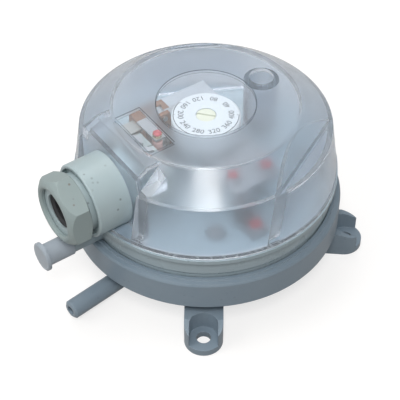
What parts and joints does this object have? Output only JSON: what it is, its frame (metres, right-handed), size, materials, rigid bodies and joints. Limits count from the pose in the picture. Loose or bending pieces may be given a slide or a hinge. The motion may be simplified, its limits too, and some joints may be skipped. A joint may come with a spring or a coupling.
{
  "type": "differential pressure switch",
  "caption": "Round differential pressure switch for air, with two hose pipes, fixing lugs, a setting dial under a clear cover, screw terminals and a cable gland.",
  "frame": {"origin": "on the switch's axis at the flat back face that meets the wall", "axes": "+Z out of the wall along the switch's axis, towards the setting dial; +X between the two fixing lugs; the P1 pipe points to -Y"},
  "size_m": [0.085, 0.102, 0.0564],
  "materials": {
    "body": "satin moulded",
    "upper": "satin moulded",
    "silicone": "matt",
    "rubber": "matt",
    "plate": "satin moulded",
    "tappet": "satin moulded",
    "spring": "bright wire",
    "brass": "turned",
    "dial": "white moulded",
    "steel": "zinc plated",
    "lacquer": "glossy drop",
    "switch": "phenolic",
    "button": "moulded",
    "terminal": "translucent moulded",
    "clear": "frosted with polished windows",
    "gasket": "matt",
    "gland": "satin moulded",
    "cap": "translucent"
  },
  "bodies": {
    "base": {"lower_body": "body", "upper_body": "upper", "diaphragm": "silicone", "tappet_seal": "rubber", "range_spring": "spring", "spindle_seal": "rubber", "bearing_bracket": "steel", "bracket_screws": "steel", "seal_drops": "lacquer", "switch_case": "switch", "switch_screws": "steel", "lever_pin": "steel", "terminal_block": "terminal", "contact_strip_1": "brass", "contact_strip_2": "brass", "contact_strip_3": "brass", "case_screws": "steel", "cover_gasket": "gasket"},
    "diaphragm_plate": {"diaphragm_plate": "plate", "diaphragm_washer": "upper", "tappet": "tappet"},
    "lever": {"switch_lever": "steel", "adjusting_screw": "brass", "adjuster_seal": "lacquer"},
    "button": {"switch_button": "button"},
    "knob": {"setting_knob": "dial", "knob_screw": "brass", "spindle": "brass"},
    "spring_seat": {"spring_seat": "brass"},
    "terminal_screw_1": {"terminal_screw_1": "steel"},
    "terminal_screw_2": {"terminal_screw_2": "steel"},
    "terminal_screw_3": {"terminal_screw_3": "steel"},
    "cover": {"cover": "clear", "gland_gasket": "rubber", "gland_body": "gland", "gland_locknut": "gland", "gland_seal": "rubber", "gland_washer": "gland"},
    "cover_screw": {"cover_screw": "steel"},
    "gland_nut": {"gland_nut": "gland"},
    "hose_cap": {"hose_cap": "cap"}
  },
  "joints": [
    {"name": "plate_lift", "type": "slide", "parent": "base", "child": "diaphragm_plate", "axis": [0, 0, 1], "range_m": [0, 0.0005], "stiffness_N_per_m": 300, "springref_m": -0.0005, "deforming": ["range_spring", "diaphragm"]},
    {"name": "lever_rock", "type": "hinge", "parent": "base", "child": "lever", "pos_m": [-0.01408, -0.00633, 0.0456], "axis": [-0.9925, 0.1219, 0], "range_deg": [0, 5.2]},
    {"name": "button_press", "type": "slide", "parent": "base", "child": "button", "axis": [0, 0, -1], "range_m": [0, 0.0005]},
    {"name": "knob_turn", "type": "hinge", "parent": "base", "child": "knob", "pos_m": [0, 0, 0.05], "axis": [0, 0, 1], "range_deg": [-135, 135]},
    {"name": "spring_seat_travel", "type": "slide", "parent": "base", "child": "spring_seat", "axis": [0, 0, 1], "range_m": [-0.00113, 0.00113], "deforming": ["range_spring"]},
    {"name": "cover_lift", "type": "slide", "parent": "base", "child": "cover", "axis": [0, 0, 1], "range_m": [0, 0.05]},
    {"name": "cover_screw_turn", "type": "hinge", "parent": "cover", "child": "cover_screw", "pos_m": [0.00251, 0.02045, 0.04], "axis": [0, 0, 1], "range_deg": [0, 1440]},
    {"name": "gland_nut_turn", "type": "hinge", "parent": "cover", "child": "gland_nut", "pos_m": [-0.00585, -0.04764, 0.0405], "axis": [-0.1219, -0.9925, 0], "range_deg": [0, 720]},
    {"name": "hose_cap_pull", "type": "slide", "parent": "base", "child": "hose_cap", "axis": [-0.1219, -0.9925, 0], "range_m": [0, 0.015]},
    {"name": "terminal_screw_1_turn", "type": "hinge", "parent": "base", "child": "terminal_screw_1", "pos_m": [-0.00891, -0.02087, 0.044], "axis": [0, 0, 1], "range_deg": [0, 720]},
    {"name": "terminal_screw_2_turn", "type": "hinge", "parent": "base", "child": "terminal_screw_2", "pos_m": [-0.00266, -0.02164, 0.044], "axis": [0, 0, 1], "range_deg": [0, 720]},
    {"name": "terminal_screw_3_turn", "type": "hinge", "parent": "base", "child": "terminal_screw_3", "pos_m": [0.0036, -0.02241, 0.044], "axis": [0, 0, 1], "range_deg": [0, 720]}
  ],
  "couplings": [
    {"joint": "lever_rock", "follows": "plate_lift", "rad_per_m": 175.44},
    {"joint": "button_press", "follows": "plate_lift", "ratio": 0.92},
    {"joint": "spring_seat_travel", "follows": "knob_turn", "m_per_rad": 0.00047746}
  ]
}
